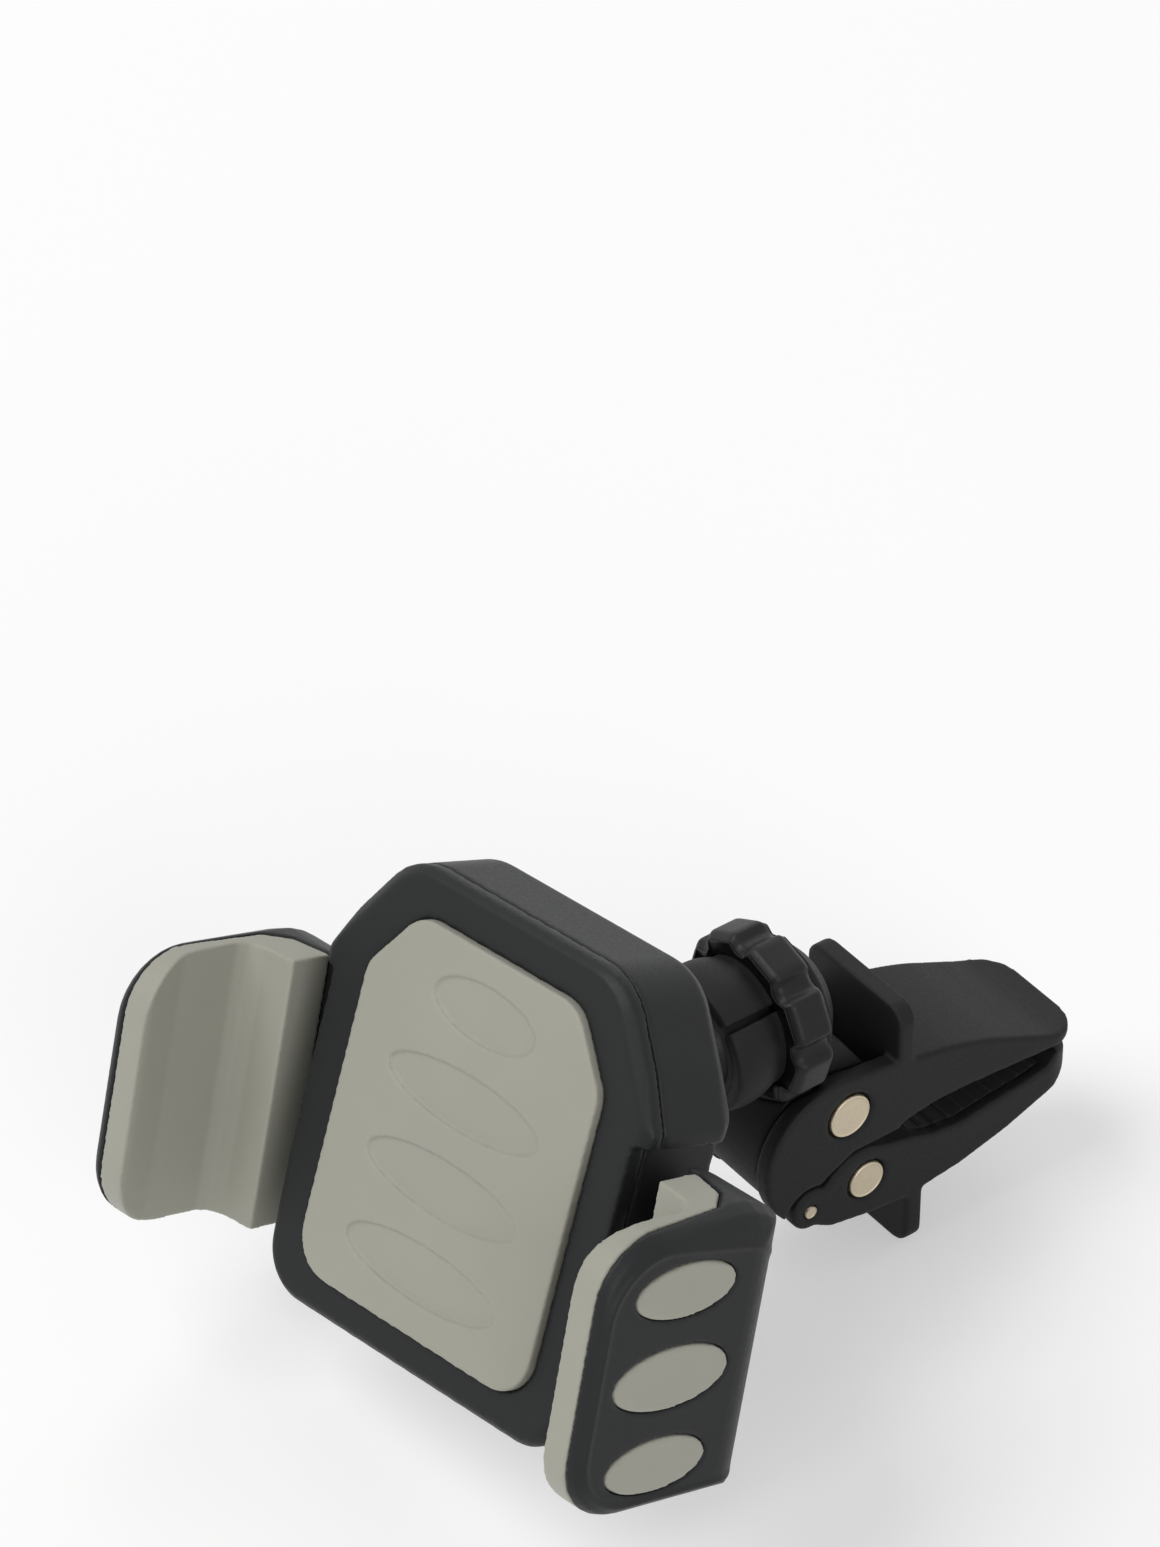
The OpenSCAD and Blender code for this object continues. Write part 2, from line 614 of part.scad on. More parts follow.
// Self-tapping screws of the housing, driven from behind
module cover_screws() color(pale_metal) on_cradle() for (p = screw_places) difference() {
    union() {
        y_pin(p, 1.7, rear_face - 1.6 + 0.02, rear_face - 0.3);
        y_pin(p, screw_r, front_face + 1.3, rear_face - 1.5);
    }
    translate([p.x - 1.1, rear_face - 0.9, p.y - 0.2]) cube([2.2, 2, 0.4]);
    translate([p.x - 0.2, rear_face - 0.9, p.y - 1.1]) cube([0.4, 2, 2.2]);
}

// Involute of a circle of radius rb, at the radius r: the angle it has turned
function involute_angle(rb, r) = let (t = sqrt(pow(r / rb, 2) - 1)) t * 180 / PI - atan(t);

// Outline of the pinion: involute flanks thinned by the backlash
backlash = 0.16;
function pinion_outline(n) = let (m = gear_module, rb = pitch_r * cos(pressure_angle), ra = pitch_r + 0.9 * m,
    rr = pitch_r - 1.1 * m, half = 90 / n - backlash / pitch_r * 180 / PI / 4,
    base = involute_angle(rb, pitch_r), r0 = max(rb, rr) + 0.001)
    [for (i = [0:n - 1]) each let (a = 360 * i / n) concat(
        [rr * [cos(a - half - base), sin(a - half - base)]],
        [for (k = [0:5]) let (r = r0 + (ra - r0) * k / 5, b = a - half - base + involute_angle(rb, r)) r * [cos(b), sin(b)]],
        [for (k = [5:-1:0]) let (r = r0 + (ra - r0) * k / 5, b = a + half + base - involute_angle(rb, r)) r * [cos(b), sin(b)]],
        [rr * [cos(a + half + base), sin(a + half + base)]])];

module pinion() color(soft_grey) on_cradle() difference() {
    translate([0, rack_y0 + rack_t, 0]) rotate([90, 0, 0]) linear_extrude(rack_t)
        rotate([0, 0, 90]) polygon(pinion_outline(pinion_teeth));
    y_pin([0, 0], pinion_pin_r + run, 0, 30);
}

// Friction washer that holds the pinion, and so both jaws, where they are put
module pinion_washer() color(pale_metal) on_cradle() difference() {
    y_pin([0, 0], pinion_pin_r + 1.5, rack_y0 - washer_t, rack_y0 - run);
    y_pin([0, 0], pinion_pin_r + run, 0, 30);
}

// Right rack, as [x, z]: bar with teeth below and a tongue that enters the jaw
module rack_outline() {
    p = PI * gear_module;
    w = p / 2 - backlash / 2;
    tip = 0.9 * gear_module;
    root = 1.1 * gear_module;
    lean = tan(pressure_angle);
    difference() {
        polygon([[-rack_reach, pitch_r - tip], [rack_reach - 3, pitch_r - tip], [rack_reach - 3, rack_base],
            [pad_x + 0.2, rack_base], [pad_x + 0.2, rack_base + rack_h], [-rack_reach, rack_base + rack_h]]);
        // Gaps between the teeth
        for (i = [-ceil(rack_reach / p):ceil(rack_reach / p)]) translate([p * i, pitch_r])
            polygon([[-(p - w) / 2 - tip * lean - 0.02, -tip - 0.02], [(p - w) / 2 + tip * lean + 0.02, -tip - 0.02],
                [(p - w) / 2 - root * lean, root], [-(p - w) / 2 + root * lean, root]]);
    }
}

rack_screw_x = (pad_x + jaw_inner_x) / 2 - 0.75;
screw_seat = rack_y0 + rack_t + 0.7;
screw_head_r = 1.65;
rack_screw_z = rack_base + rack_h / 2;
module rack_bar() difference() {
    along(rack_y0, rack_y0 + rack_t) rack_outline();
    y_pin([rack_screw_x, rack_screw_z], screw_r + seat, rack_y0 - 1, 30);
}
module right_rack() color(charcoal) on_cradle() rack_bar();
module left_rack() color(charcoal) on_cradle() rotate([0, 180, 0]) rack_bar();

// Side outline of a jaw in its own frame, as [y, z], shrunk by d, its top falling to the back
function jaw_outline(d, fall = 0) = rounded([[jaw_front + d, -jaw_h / 2 + d, jaw_corner],
    [jaw_back - d, -jaw_h / 2 + d, 4], [jaw_back - d, jaw_h / 2 - fall - d, 10], [jaw_front + d, jaw_h / 2 - d, jaw_corner]]);

// Plan of the jaw's outer surface: flat side, then an elliptic corner at the back
module jaw_plan(x1) {
    corner = [jaw_inner_x - 4, jaw_back - back_round];
    linear_extrude(2 * jaw_h, center = true) polygon(concat(
        [[corner.x, jaw_front - 1], [x1, jaw_front - 1]],
        [for (i = [0:14]) let (a = 90 * i / 14)
            [corner.x + (x1 - corner.x) * cos(a), corner.y + back_round * sin(a)]]));
}

// Plan of the pad: front lip, side wall and the wing at the back, grown by d towards the shell
function pad_plan(d) = [[pad_x - lip_lean, jaw_front - 1], [shell_x + d, jaw_front - 1], [shell_x + d, jaw_front + 4],
    [pad_x + pad_t + 0.5 + d, jaw_front + 7], [pad_x + pad_t + d, jaw_front + 12], [pad_x + 0.9 + d, 3.4 - jaw_mid_y + d],
    [pad_x - wing_w * 0.25 + d, 6.2 - jaw_mid_y + d], [pad_x - wing_w * 0.92, 7.3 - jaw_mid_y + d],
    [pad_x - wing_w, 7.3 - jaw_mid_y + d], [pad_x - wing_w, 1.9 - jaw_mid_y],
    [pad_x - wing_w * 0.34, 1.5 - jaw_mid_y], [pad_x - wing_w * 0.1, 0.7 - jaw_mid_y],
    [pad_x, -0.7 - jaw_mid_y], [pad_x, jaw_front + 5.6], [pad_x - lip_lean, jaw_front + 1.2]];

// Oval window through the jaw's side, from x0 outwards, grown by d
module windows(x0, x1, d) {
    for (w = window_places)
        translate([0, 0, w[0] + window_mid]) across(x0, x1)
            polygon(ellipse(window_a * w[1] + d, window_b * w[1] + d, 48));
}

// Hard shell of the right jaw
module jaw_shell(side) difference() {
    on_jaw() difference() {
        intersection() {
            hull() {
                across(jaw_inner_x, jaw_x - 2.2 * jaw_round) polygon(jaw_outline(0));
                across(jaw_inner_x, jaw_x - jaw_round) polygon(jaw_outline(jaw_round * 0.1, jaw_fall * 0.25));
                across(jaw_inner_x, jaw_x - jaw_round * 0.35) polygon(jaw_outline(jaw_round * 0.35, jaw_fall * 0.62));
                across(jaw_inner_x, jaw_x) polygon(jaw_outline(jaw_round * 0.9, jaw_fall));
            }
            jaw_plan(jaw_x);
        }
        // Bed of the pad
        linear_extrude(3 * jaw_h, center = true) polygon(concat(
            [[jaw_inner_x - 5, 7.3 - jaw_mid_y + seat], [jaw_inner_x - 5, jaw_front - 3], [shell_x + seat, jaw_front - 3]],
            [for (i = [1:7]) pad_plan(seat)[i]]));
        windows(pad_x, jaw_x + 1, 0.08);
    }
    // Pocket of the rack's tongue and its screws
    translate([-eps, rack_y0, side * rack_screw_z - rack_h / 2]) cube([pad_x + 0.2, rack_t, rack_h]);
    y_pin([rack_screw_x, side * rack_screw_z], screw_r + 0.15, rack_y0 - 0.5, 40);
    y_pin([rack_screw_x, side * rack_screw_z], screw_head_r + 0.15, screw_seat, 40);
}
module right_jaw() color(charcoal) on_cradle() jaw_shell(1);
module left_jaw() color(charcoal) on_cradle() mirror([1, 0, 0]) jaw_shell(-1);

// Soft pad moulded into the jaw, with a boss through each window
module jaw_pad() on_jaw() {
    intersection() {
        linear_extrude(3 * jaw_h, center = true) polygon(pad_plan(0));
        across(0, jaw_x) polygon(jaw_outline(0.15));
    }
    intersection() {
        windows(pad_x + pad_t * 0.6, jaw_x + 0.05, 0);
        translate([0, jaw_front, -jaw_h]) cube([jaw_x + 0.05, jaw_depth, 2 * jaw_h]);
    }
}
module right_pad() color(soft_grey) on_cradle() jaw_pad();
module left_pad() color(soft_grey) on_cradle() mirror([1, 0, 0]) jaw_pad();

// Screw that holds the rack's tongue in the jaw
module rack_screw() difference() {
    union() {
        y_pin([rack_screw_x, rack_screw_z], screw_head_r, screw_seat, screw_seat + 1);
        y_pin([rack_screw_x, rack_screw_z], screw_r, rack_y0 + 0.3, screw_seat + 0.1);
    }
    translate([rack_screw_x - 1, screw_seat + 0.5, rack_screw_z - 0.2]) cube([2, 2, 0.4]);
    translate([rack_screw_x - 0.2, screw_seat + 0.5, rack_screw_z - 1]) cube([0.4, 2, 2]);
}
module right_screw() color(pale_metal) on_cradle() rack_screw();
module left_screw() color(pale_metal) on_cradle() rotate([0, 180, 0]) rack_screw();

clip_base();
upper_jaw();
upper_grip();
lower_jaw();
lower_grip();
base_rivet();
jaw_rivet();
hinge_pin();
clip_spring();
grip_ring();
ball_liner();
ball_stud();
stud_washer();
stud_nut();
rear_cover();
front_cover();
rest_pad();
cover_screws();
pinion();
pinion_washer();
right_rack();
left_rack();
right_jaw();
left_jaw();
right_pad();
left_pad();
right_screw();
left_screw();
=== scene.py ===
"""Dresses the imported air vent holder: moulded plastic, silicone, rubber and metal round the fixed CAD frame.

Every piece is in metres in the row's frame: +X along the clip's rivets, +Y into the vent, +Z up.
"""

import math

import bmesh
import bpy
import numpy as np
from mathutils import Matrix, Vector


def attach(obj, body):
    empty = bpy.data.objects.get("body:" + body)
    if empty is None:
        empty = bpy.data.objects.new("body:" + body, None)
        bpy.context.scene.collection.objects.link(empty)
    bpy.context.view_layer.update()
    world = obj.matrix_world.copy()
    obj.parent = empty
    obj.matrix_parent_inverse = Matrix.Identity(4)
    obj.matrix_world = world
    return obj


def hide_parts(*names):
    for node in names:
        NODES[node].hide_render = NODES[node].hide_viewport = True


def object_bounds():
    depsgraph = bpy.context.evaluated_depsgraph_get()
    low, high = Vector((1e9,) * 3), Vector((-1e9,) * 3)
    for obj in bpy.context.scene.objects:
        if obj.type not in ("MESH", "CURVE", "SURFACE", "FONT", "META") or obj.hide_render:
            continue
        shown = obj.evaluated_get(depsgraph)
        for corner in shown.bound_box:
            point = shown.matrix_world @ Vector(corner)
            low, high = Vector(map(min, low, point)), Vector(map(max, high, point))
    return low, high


bl_info = {
    "name": "Air vent holder looks",
    "version": (1, 0, 0),
    "blender": (4, 5, 0),
    "location": "3D View > Sidebar > Vent holder",
    "description": "Finishes the vent holder's pieces and sets up its studio",
    "category": "Object",
}

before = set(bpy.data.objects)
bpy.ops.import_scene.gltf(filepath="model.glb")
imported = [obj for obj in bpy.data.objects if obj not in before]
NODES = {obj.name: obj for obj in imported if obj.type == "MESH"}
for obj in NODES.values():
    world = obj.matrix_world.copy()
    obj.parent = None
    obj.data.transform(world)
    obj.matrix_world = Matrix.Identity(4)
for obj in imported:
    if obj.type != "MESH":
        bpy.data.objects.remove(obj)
CAD_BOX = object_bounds()
MM = 0.001

# Places of the CAD source that the new pieces follow, in millimetres
BASE_RIVET = (-20.64, 5.93)
JAW_RIVET = (-17.9, -4.95)
HINGE_PIN = (-25.85, -5.56)
CLIP_HALF_WIDTH = 8.3
BALL_CENTRE = np.array([0.0, -34.0, 19.0])
BALL_IN_CRADLE = np.array([0.0, 36.2, 18.3])
RING_FRONT, RING_LENGTH, RING_RADIUS, RING_BORE = -29.6, 5.2, 10.35, 7.8
LOBES, LOBE_DEPTH, LOBE_TURN = 8, 1.1, 29.0
COIL_RADIUS, WIRE_RADIUS, COIL_PITCH, COIL_TURNS = 2.4, 0.45, 1.05, 8
BALL_RADIUS, STUD_RADIUS, THREAD_RADIUS, FLANGE_RADIUS = 6.0, 3.0, 2.0, 5.2
FLANGE_BACK, FLANGE_FRONT, THREAD_END = 17.61, 16.06, 6.2
ROOF = np.array([[-13.9, 10.3], [-11.6, 9.7], [-5.5, 8.4], [0, 6.5], [5, 4.2], [9.9, 2.1], [13.3, 1.6]])


# The jaw's own frame in the cradle's: its shift along Y and Z, and its lean in degrees
JAW_SHIFT, JAW_LEAN = np.array([0.0, -2.15, 0.4]), 6.0
# Back corner of a jaw's plan: the ellipse's middle and half axes, as x and y
BACK_CORNER, BACK_AXES = (24.05, 9.6), (15.75, 8.4)
RACK_END = 33.6
# Outline of a jaw's outer face, as y, z and corner radius, and the radius of its lower rear edge
JAW_BOTTOM, JAW_REAR_ROUND, RIDGE_HEIGHT, RIDGE_WIDTH = -16.4, 2.6, 0.16, 0.4
FACE_OUTLINE = [(-10.44, -15.14, 7.2), (16.74, -15.14, 4.0), (16.74, 11.54, 10.0), (-10.44, 15.14, 7.2)]


def turned(pitch, roll, yaw):
    """Rotation matrix of three turns in degrees: about X, then Y, then Z."""
    return np.array(
        Matrix.Rotation(math.radians(yaw), 3, "Z")
        @ Matrix.Rotation(math.radians(roll), 3, "Y")
        @ Matrix.Rotation(math.radians(pitch), 3, "X")
    )


CRADLE_TURN = turned(-24.4, -7.1, 5.1)


def from_cradle(points):
    """Points in the cradle's own frame, in millimetres, brought to the row's frame."""
    return BALL_CENTRE + (np.asarray(points, float) - BALL_IN_CRADLE) @ CRADLE_TURN.T


def to_cradle(points):
    """Points of the row's frame, in millimetres, in the cradle's own frame."""
    return (np.asarray(points, float) - BALL_CENTRE) @ CRADLE_TURN + BALL_IN_CRADLE


def from_jaw(points):
    """Points in a right jaw's own frame, in millimetres, brought to the row's frame."""
    return from_cradle(np.asarray(points, float) @ turned(JAW_LEAN, 0, 0).T + JAW_SHIFT)


# Shapes


def grid_mesh(name, points, round_u=True, round_v=False, caps=False):
    """A mesh from a grid of points in millimetres, [along u, round v, xyz], closed where it says so.

    Corner (i, j) joins (i + 1, j), (i + 1, j + 1) and (i, j + 1), so faces point outwards when u turns
    anticlockwise seen from the side that v runs to.
    """
    rows, columns = points.shape[:2]
    index = np.arange(rows * columns).reshape(rows, columns)
    next_u = np.roll(index, -1, 0) if round_u else index[1:]
    here = index if round_u else index[:-1]
    next_both = np.roll(next_u, -1, 1) if round_v else next_u[:, 1:]
    next_v = np.roll(here, -1, 1) if round_v else here[:, 1:]
    if not round_v:
        here, next_u = here[:, :-1], next_u[:, :-1]
    quads = np.stack([here, next_u, next_both, next_v], -1).reshape(-1, 4)
    faces = quads.tolist()
    if caps:
        faces += [index[::-1, 0].tolist(), index[:, -1].tolist()]
    mesh = bpy.data.meshes.new(name)
    mesh.from_pydata((points.reshape(-1, 3) * MM).tolist(), [], faces)
    mesh.validate()
    mesh.polygons.foreach_set("use_smooth", np.ones(len(mesh.polygons), bool))
    piece = bpy.data.objects.new(name, mesh)
    bpy.context.scene.collection.objects.link(piece)
    return piece


def lathe(name, profile, steps, place):
    """Profile of (height, radius) pairs carried round the height axis; place puts x, y, height in the frame.

    A point is (r cos a, r sin a, h), with r and h from the profile and a the angle.
    """
    profile = np.asarray(profile, float)
    angle = np.linspace(0, 2 * np.pi, steps, endpoint=False)[:, None]
    height, radius = profile[None, :, 0], profile[None, :, 1]
    points = np.stack(
        [radius * np.cos(angle), radius * np.sin(angle), height + 0 * angle], -1
    )
    return grid_mesh(name, place(points), caps=True)


def rounded_profile(corners, bend=6):
    """A profile through corners (height, radius, rounding), each corner a quadratic curve between its legs."""
    out = []
    corners = [np.array(c, float) for c in corners]
    for i, corner in enumerate(corners):
        size = corner[2]
        if size <= 0 or i in (0, len(corners) - 1):
            out.append(corner[:2])
            continue
        before, after = corners[i - 1][:2] - corner[:2], corners[i + 1][:2] - corner[:2]
        start = corner[:2] + before / np.linalg.norm(before) * size
        end = corner[:2] + after / np.linalg.norm(after) * size
        for t in np.linspace(0, 1, bend):
            out.append((1 - t) ** 2 * start + 2 * t * (1 - t) * corner[:2] + t * t * end)
    return np.array(out)


def tube(name, path, outward, radius, sides):
    """A round wire along a path of points in millimetres.

    A point is c + r (n cos a + b sin a): c on the path, n the path's outward direction with its part along
    the tangent taken off, b the tangent crossed with n, and a the angle round the wire.
    """
    tangent = np.gradient(path, axis=0)
    tangent /= np.linalg.norm(tangent, axis=1)[:, None]
    normal = outward - (outward * tangent).sum(1)[:, None] * tangent
    normal /= np.linalg.norm(normal, axis=1)[:, None]
    side = np.cross(tangent, normal)
    angle = np.linspace(0, 2 * np.pi, sides, endpoint=False)[:, None, None]
    points = path + radius * (normal * np.cos(angle) + side * np.sin(angle))
    return grid_mesh(name, points, caps=True)


def soften(node, voxel, passes):
    """Rounds a moulded CAD piece's edges: a fine skin over its solid, then smoothed a few times."""
    weld = node.modifiers.new("merged corners", "WELD")
    weld.merge_threshold = 1e-6
    skin = node.modifiers.new("moulded skin", "REMESH")
    skin.mode = "VOXEL"
    skin.voxel_size = voxel * MM
    skin.use_smooth_shade = True
    smooth = node.modifiers.new("soft edges", "SMOOTH")
    smooth.factor = 0.5
    smooth.iterations = passes
    return node


def merged_copy(name, node, *others):
    """A new object with a CAD piece's mesh and those of other closed pieces, its doubles merged."""
    mesh = bpy.data.meshes.new(name)
    body = bmesh.new()
    for part in (node, *others):
        body.from_mesh(part.data)
    bmesh.ops.remove_doubles(body, verts=body.verts, dist=1e-6)
    body.to_mesh(mesh)
    body.free()
    piece = bpy.data.objects.new(name, mesh)
    bpy.context.scene.collection.objects.link(piece)
    return piece


def moulded_copy(name, node, voxel, passes, *others):
    """A new mesh of a CAD piece, and of closed pieces fused to it, with its edges rounded.

    Its points are returned in millimetres, to shape them further.
    """
    rough = merged_copy(name + "_rough", node, *others)
    soften(rough, voxel, passes)
    shown = rough.evaluated_get(bpy.context.evaluated_depsgraph_get())
    mesh = bpy.data.meshes.new_from_object(shown)
    mesh.name = name
    bpy.data.objects.remove(rough)
    piece = bpy.data.objects.new(name, mesh)
    bpy.context.scene.collection.objects.link(piece)
    points = np.empty(len(mesh.vertices) * 3, np.float32)
    mesh.vertices.foreach_get("co", points)
    return piece, points.reshape(-1, 3) / MM


def smooth_curve(knots, at):
    """Height of a smooth curve through the knots: on each span a cubic whose end slopes are the mean slopes.

    With t from 0 to 1 on a span of width w it is (2t^3-3t^2+1) z0 + (t^3-2t^2+t) w m0 + (3t^2-2t^3) z1 +
    (t^3-t^2) w m1.
    """
    y, z = knots.T
    slope = np.gradient(z, y)
    i = np.clip(np.searchsorted(y, at) - 1, 0, len(y) - 2)
    w = y[i + 1] - y[i]
    t = np.clip((at - y[i]) / w, 0, 1)
    return (
        (2 * t**3 - 3 * t**2 + 1) * z[i]
        + (t**3 - 2 * t**2 + t) * w * slope[i]
        + (3 * t**2 - 2 * t**3) * z[i + 1]
        + (t**3 - t**2) * w * slope[i + 1]
    )


# Materials


def linear(hexa):
    """Linear red, green, blue and alpha of an sRGB hex colour."""
    value = [int(hexa[i : i + 2], 16) / 255 for i in (1, 3, 5)]
    return [c / 12.92 if c <= 0.04045 else ((c + 0.055) / 1.055) ** 2.4 for c in value] + [1.0]


def add_node(owner, kind, sockets=None, links=None, **settings):
    """Adds one shader node: its settings, its sockets' values and the links into it."""
    tree = owner.node_tree
    node = tree.nodes.new("ShaderNode" + kind)
    for key, value in settings.items():
        setattr(node, key, value)
    for key, value in (sockets or {}).items():
        node.inputs[key].default_value = value
    for key, (source, output) in (links or {}).items():
        tree.links.new(source.outputs[output], node.inputs[key])
    return node


def blank(name):
    """A new material with an empty tree."""
    material = bpy.data.materials.new(name)
    material.use_nodes = True
    material.node_tree.nodes.clear()
    return material


def moulded(name, low, high, roughness, grain, depth, specular=0.5, sheen=0.0, coat=0.0):
    """Injection-moulded plastic or silicone.

    grain is the eroded tool's texture spacing in millimetres and depth its bump height in millimetres. The
    colour drifts a little between low and high over centimetres, as regrind and handling leave it.
    """
    material = blank(name)
    place = add_node(material, "TexCoord")
    drift = add_node(material, "TexNoise", {"Scale": 60.0, "Detail": 3.0, "Roughness": 0.6}, {"Vector": (place, "Object")})
    fine = add_node(
        material, "TexNoise", {"Scale": 1000.0 / grain, "Detail": 2.0, "Roughness": 0.7}, {"Vector": (place, "Object")}
    )
    colour = add_node(
        material, "Mix", {6: linear(low), 7: linear(high)}, {0: (drift, "Fac")}, data_type="RGBA"
    )
    gloss = add_node(
        material,
        "MapRange",
        {"From Min": 0.3, "From Max": 0.7, "To Min": roughness - 0.05, "To Max": roughness + 0.05},
        {"Value": (fine, "Fac")},
    )
    bump = add_node(
        material, "Bump", {"Strength": 0.6, "Distance": depth * MM}, {"Height": (fine, "Fac")}
    )
    shader = add_node(
        material,
        "BsdfPrincipled",
        {"IOR": 1.5, "Specular IOR Level": specular, "Sheen Weight": sheen, "Coat Weight": coat, "Coat Roughness": 0.35},
        {"Base Color": (colour, 2), "Roughness": (gloss, 0), "Normal": (bump, 0)},
    )
    add_node(material, "OutputMaterial", None, {"Surface": (shader, 0)})
    return material


def metal(name, low, high, roughness, brush, depth):
    """Bare or plated metal: brush is the spacing in millimetres of the marks that stamping or tumbling left."""
    material = blank(name)
    place = add_node(material, "TexCoord")
    marks = add_node(
        material, "TexNoise", {"Scale": 1000.0 / brush, "Detail": 4.0, "Roughness": 0.65}, {"Vector": (place, "Object")}
    )
    colour = add_node(
        material, "Mix", {6: linear(low), 7: linear(high)}, {0: (marks, "Fac")}, data_type="RGBA"
    )
    gloss = add_node(
        material,
        "MapRange",
        {"From Min": 0.3, "From Max": 0.7, "To Min": roughness - 0.08, "To Max": roughness + 0.08},
        {"Value": (marks, "Fac")},
    )
    bump = add_node(material, "Bump", {"Strength": 0.4, "Distance": depth * MM}, {"Height": (marks, "Fac")})
    shader = add_node(
        material,
        "BsdfPrincipled",
        {"Metallic": 1.0},
        {"Base Color": (colour, 2), "Roughness": (gloss, 0), "Normal": (bump, 0)},
    )
    add_node(material, "OutputMaterial", None, {"Surface": (shader, 0)})
    return material


def seen_rays(owner):
    """A node that is 1 for rays from the camera and for those that shiny or clear surfaces send on."""
    path = add_node(owner, "LightPath")
    direct = add_node(owner, "Math", None, {0: (path, "Is Camera Ray"), 1: (path, "Is Glossy Ray")}, operation="MAXIMUM")
    return add_node(owner, "Math", None, {0: (direct, 0), 1: (path, "Is Transmission Ray")}, operation="MAXIMUM")


def coat_with(piece, material):
    """Puts one material on every face of a piece."""
    piece.data.materials.clear()
    piece.data.materials.append(material)


def stand_for(piece, body, slot, *nodes):
    """Rides a new piece on its body in place of CAD nodes; the slot of its finish is not used."""
    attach(piece, body)
    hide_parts(*nodes)


class ClipFinish(bpy.types.PropertyGroup):
    """Finish of the clip and the ball joint."""

    plastic: bpy.props.StringProperty(name="Plastic", description="Charcoal of the clip, as sRGB hex", default="#191a1a")
    rubber: bpy.props.StringProperty(name="Rubber", description="Black of the grip strips, as sRGB hex", default="#0f0f10")
    rivet: bpy.props.StringProperty(name="Rivets", description="Pale plating of the rivets, as sRGB hex", default="#ccc0a9")
    edge_voxel: bpy.props.FloatProperty(name="Skin size", description="Spacing of the moulded skin, in millimetres", default=0.26, min=0.15, max=0.6)
    edge_passes: bpy.props.IntProperty(name="Edge softness", description="Smoothing passes over the moulded skin", default=8, min=0, max=40)


class CradleFinish(bpy.types.PropertyGroup):
    """Finish of the cradle and its jaws."""

    cover_share: bpy.props.FloatProperty(name="Cover detail", description="Share of the covers' triangles that is kept", default=0.62, min=0.1, max=1)
    shell: bpy.props.StringProperty(name="Shell", description="Charcoal of the cradle, as sRGB hex", default="#1c1d1e")
    silicone: bpy.props.StringProperty(name="Silicone", description="Grey of the soft pads, as sRGB hex", default="#959489")
    steel: bpy.props.StringProperty(name="Screws", description="Colour of the screws, as sRGB hex", default="#a8a8aa")
    edge_voxel: bpy.props.FloatProperty(name="Cover skin size", description="Spacing of the covers' moulded skin, in millimetres", default=0.3, min=0.15, max=0.6)
    fine_voxel: bpy.props.FloatProperty(name="Jaw skin size", description="Spacing of the jaws' and pads' moulded skin, in millimetres", default=0.22, min=0.15, max=0.6)
    edge_passes: bpy.props.IntProperty(name="Edge softness", description="Smoothing passes over the moulded skin", default=8, min=0, max=40)


class StudioSetup(bpy.types.PropertyGroup):
    """The stage round the holder."""

    floor: bpy.props.StringProperty(name="Floor", description="Colour of the floor, as sRGB hex", default="#ffffff")
    key_power: bpy.props.FloatProperty(name="Key lamp", description="Power of the large lamp over the front", default=34.5, min=0, unit="POWER")
    sheen_power: bpy.props.FloatProperty(name="Sheen lamp", description="Power of the lamp behind the holder", default=2.0, min=0, unit="POWER")
    side_power: bpy.props.FloatProperty(name="Side lamp", description="Power of the lamp on the right", default=11.0, min=0, unit="POWER")
    room_light: bpy.props.FloatProperty(name="Room light", description="Brightness of the even light from all sides", default=0.32, min=0)


class VENT_OT_clip_plastic(bpy.types.Operator):
    """Softens the clip's moulded edges and gives them charcoal plastic"""

    bl_idname = "vent.clip_plastic"
    bl_label = "Clip plastic"

    def execute(self, context):
        finish = context.scene.clip_finish
        # Glass-filled nylon from an eroded tool: dull, near black, with a soft highlight on its rounded edges
        plastic = moulded("Moulded nylon charcoal", finish.plastic, "#1c1c1d", 0.58, 0.35, 0.02, 0.17)
        for name in ("clip_base", "lower_jaw"):
            coat_with(soften(NODES[name], finish.edge_voxel, finish.edge_passes), plastic)
        # The upper jaw's roof runs as one smooth curve through the CAD outline's corners
        piece, points = moulded_copy("upper_jaw_moulding", NODES["upper_jaw"], finish.edge_voxel, finish.edge_passes)
        y, z = points[:, 1], points[:, 2]
        corner_line = np.interp(y, *ROOF.T)
        depth = np.clip(1 - np.abs(z - corner_line) / 1.5, 0, 1) * (y > ROOF[1, 0] + 0.8) * (y < ROOF[-1, 0])
        start = np.clip((y - ROOF[1, 0] - 0.8) / 1.5, 0, 1)
        points[:, 2] += (smooth_curve(ROOF, y) - corner_line) * depth * start
        piece.data.vertices.foreach_set("co", (points * MM).astype(np.float32).ravel())
        piece.data.update()
        coat_with(piece, plastic)
        stand_for(piece, "clip", "charcoal_clip", "upper_jaw")
        return {"FINISHED"}


